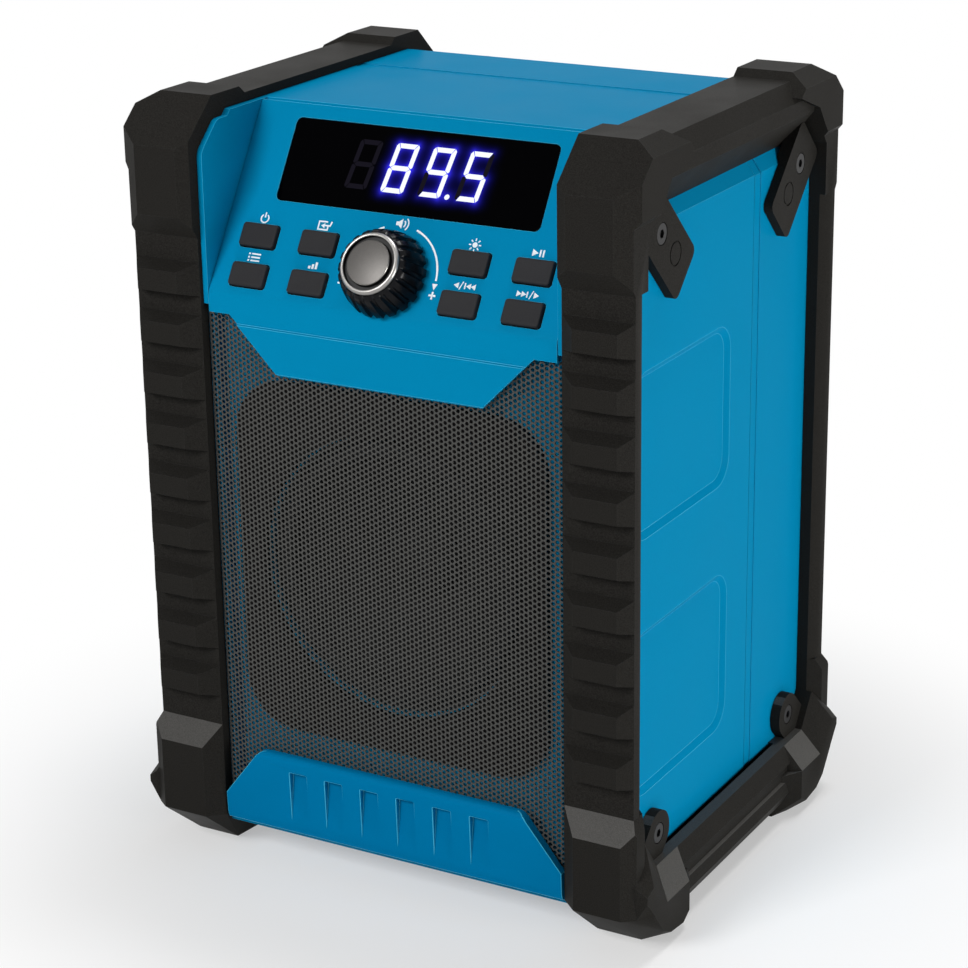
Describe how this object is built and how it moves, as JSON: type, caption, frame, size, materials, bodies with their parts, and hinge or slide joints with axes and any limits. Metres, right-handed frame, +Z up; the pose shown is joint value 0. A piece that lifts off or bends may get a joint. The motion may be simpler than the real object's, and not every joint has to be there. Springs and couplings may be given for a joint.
{
  "type": "jobsite radio",
  "caption": "Rugged portable jobsite radio: blue body between ribbed black side frames, sloping panel with knob, buttons and display, mesh grille, rear battery door and telescopic antenna.",
  "frame": {"origin": "centre of the bounding box at ground level", "axes": "+Z up, front with the control panel and grille towards -Y, +X to the right seen from the front"},
  "size_m": [0.1876, 0.1592, 0.2572],
  "materials": {
    "front_housing": "satin",
    "rear_housing": "satin",
    "housing_gasket": "matte",
    "housing_screws": "satin",
    "side_frame_left": "textured",
    "side_frame_right": "textured",
    "frame_screws": "black oxide",
    "rubber_feet": "matte",
    "control_panel": "satin",
    "grille": "powder coated",
    "speaker_bezel": "matte",
    "skirt": "satin",
    "display_lens": "polished",
    "display_module": "matte",
    "control_board": "solder mask",
    "contact_pads": "plated",
    "control_screws": "satin",
    "encoder_body": "satin",
    "encoder_shaft": "turned",
    "knob": "moulded",
    "knob_cap": "brushed",
    "button_power": "silicone",
    "button_source": "silicone",
    "button_preset": "silicone",
    "button_memory": "silicone",
    "button_light": "silicone",
    "button_play": "silicone",
    "button_back": "silicone",
    "button_next": "silicone",
    "speaker_gasket": "foam",
    "speaker_basket": "painted",
    "speaker_screws": "satin",
    "speaker_magnet": "ferrite",
    "speaker_yoke": "zinc plated",
    "speaker_terminals": "plated",
    "cone": "paper pulp",
    "dust_cap": "paper pulp",
    "voice_coil": "enamelled copper",
    "cone_surround": "matte",
    "spider": "impregnated cloth",
    "main_board": "solder mask",
    "board_screws": "satin",
    "heat_sink": "extruded",
    "tuner_can": "tin plated",
    "capacitors": "sleeved",
    "dc_socket": "matte",
    "aux_socket": "matte",
    "usb_socket": "plated",
    "socket_flap": "matte",
    "battery_door": "satin",
    "battery_cells": "foil sleeve",
    "battery_contacts": "nickel plated",
    "antenna_base": "plated",
    "antenna_knuckle": "plated",
    "antenna_tube": "plated",
    "antenna_mid": "plated",
    "antenna_tip": "plated",
    "antenna_screw": "satin"
  },
  "bodies": {
    "housing": {"front_housing": "front_housing", "rear_housing": "rear_housing", "housing_gasket": "housing_gasket", "housing_screws": "housing_screws", "side_frame_left": "side_frame_left", "side_frame_right": "side_frame_right", "frame_screws": "frame_screws", "rubber_feet": "rubber_feet", "control_panel": "control_panel", "grille": "grille", "speaker_bezel": "speaker_bezel", "skirt": "skirt", "display_lens": "display_lens", "display_module": "display_module", "control_board": "control_board", "contact_pads": "contact_pads", "control_screws": "control_screws", "encoder_body": "encoder_body", "speaker_gasket": "speaker_gasket", "speaker_basket": "speaker_basket", "speaker_screws": "speaker_screws", "speaker_magnet": "speaker_magnet", "speaker_yoke": "speaker_yoke", "speaker_terminals": "speaker_terminals", "cone_surround": "cone_surround", "spider": "spider", "main_board": "main_board", "board_screws": "board_screws", "heat_sink": "heat_sink", "tuner_can": "tuner_can", "capacitors": "capacitors", "dc_socket": "dc_socket", "aux_socket": "aux_socket", "usb_socket": "usb_socket", "battery_cells": "battery_cells", "battery_contacts": "battery_contacts"},
    "knob": {"knob": "knob", "knob_cap": "knob_cap", "encoder_shaft": "encoder_shaft"},
    "button_power": {"button_power": "button_power"},
    "button_source": {"button_source": "button_source"},
    "button_preset": {"button_preset": "button_preset"},
    "button_memory": {"button_memory": "button_memory"},
    "button_light": {"button_light": "button_light"},
    "button_play": {"button_play": "button_play"},
    "button_back": {"button_back": "button_back"},
    "button_next": {"button_next": "button_next"},
    "battery_door": {"battery_door": "battery_door"},
    "socket_flap": {"socket_flap": "socket_flap"},
    "antenna_swivel": {"antenna_base": "antenna_base", "antenna_screw": "antenna_screw"},
    "antenna_arm": {"antenna_knuckle": "antenna_knuckle", "antenna_tube": "antenna_tube"},
    "antenna_mid": {"antenna_mid": "antenna_mid"},
    "antenna_tip": {"antenna_tip": "antenna_tip"},
    "cone": {"cone": "cone", "dust_cap": "dust_cap", "voice_coil": "voice_coil"}
  },
  "joints": [
    {"name": "knob_turn", "type": "hinge", "parent": "housing", "child": "knob", "pos_m": [0, -0.06402, 0.20782], "axis": [0, -0.8453, 0.5344], "continuous": true},
    {"name": "button_power_press", "type": "slide", "parent": "housing", "child": "button_power", "axis": [0, 0.8453, -0.5344], "range_m": [0, 0.001], "stiffness_N_per_m": 900, "springref_m": -0.0008},
    {"name": "button_source_press", "type": "slide", "parent": "housing", "child": "button_source", "axis": [0, 0.8453, -0.5344], "range_m": [0, 0.001], "stiffness_N_per_m": 900, "springref_m": -0.0008},
    {"name": "button_preset_press", "type": "slide", "parent": "housing", "child": "button_preset", "axis": [0, 0.8453, -0.5344], "range_m": [0, 0.001], "stiffness_N_per_m": 900, "springref_m": -0.0008},
    {"name": "button_memory_press", "type": "slide", "parent": "housing", "child": "button_memory", "axis": [0, 0.8453, -0.5344], "range_m": [0, 0.001], "stiffness_N_per_m": 900, "springref_m": -0.0008},
    {"name": "button_light_press", "type": "slide", "parent": "housing", "child": "button_light", "axis": [0, 0.8453, -0.5344], "range_m": [0, 0.001], "stiffness_N_per_m": 900, "springref_m": -0.0008},
    {"name": "button_play_press", "type": "slide", "parent": "housing", "child": "button_play", "axis": [0, 0.8453, -0.5344], "range_m": [0, 0.001], "stiffness_N_per_m": 900, "springref_m": -0.0008},
    {"name": "button_back_press", "type": "slide", "parent": "housing", "child": "button_back", "axis": [0, 0.8453, -0.5344], "range_m": [0, 0.001], "stiffness_N_per_m": 900, "springref_m": -0.0008},
    {"name": "button_next_press", "type": "slide", "parent": "housing", "child": "button_next", "axis": [0, 0.8453, -0.5344], "range_m": [0, 0.001], "stiffness_N_per_m": 900, "springref_m": -0.0008},
    {"name": "battery_door_hinge", "type": "hinge", "parent": "housing", "child": "battery_door", "pos_m": [0, 0.07004, 0.026], "axis": [-1, 0, 0], "range_deg": [0, 90]},
    {"name": "socket_flap_hinge", "type": "hinge", "parent": "housing", "child": "socket_flap", "pos_m": [0.026, 0.06944, 0.1261], "axis": [1, 0, 0], "range_deg": [0, 110]},
    {"name": "antenna_turn", "type": "hinge", "parent": "housing", "child": "antenna_swivel", "pos_m": [-0.044, 0.07564, 0.1132], "axis": [0, 1, 0], "range_deg": [0, 50]},
    {"name": "antenna_tilt", "type": "hinge", "parent": "antenna_swivel", "child": "antenna_arm", "pos_m": [-0.044, 0.07564, 0.1132], "axis": [-1, 0, 0], "range_deg": [0, 90]},
    {"name": "antenna_mid_slide", "type": "slide", "parent": "antenna_arm", "child": "antenna_mid", "axis": [0, 0, 1], "range_m": [0, 0.105]},
    {"name": "antenna_tip_slide", "type": "slide", "parent": "antenna_mid", "child": "antenna_tip", "axis": [0, 0, 1], "range_m": [0, 0.105]},
    {"name": "cone_move", "type": "slide", "parent": "housing", "child": "cone", "axis": [0, 1, 0], "range_m": [-0.0015, 0.0015], "stiffness_N_per_m": 1500, "deforming": ["cone_surround", "spider"]}
  ]
}
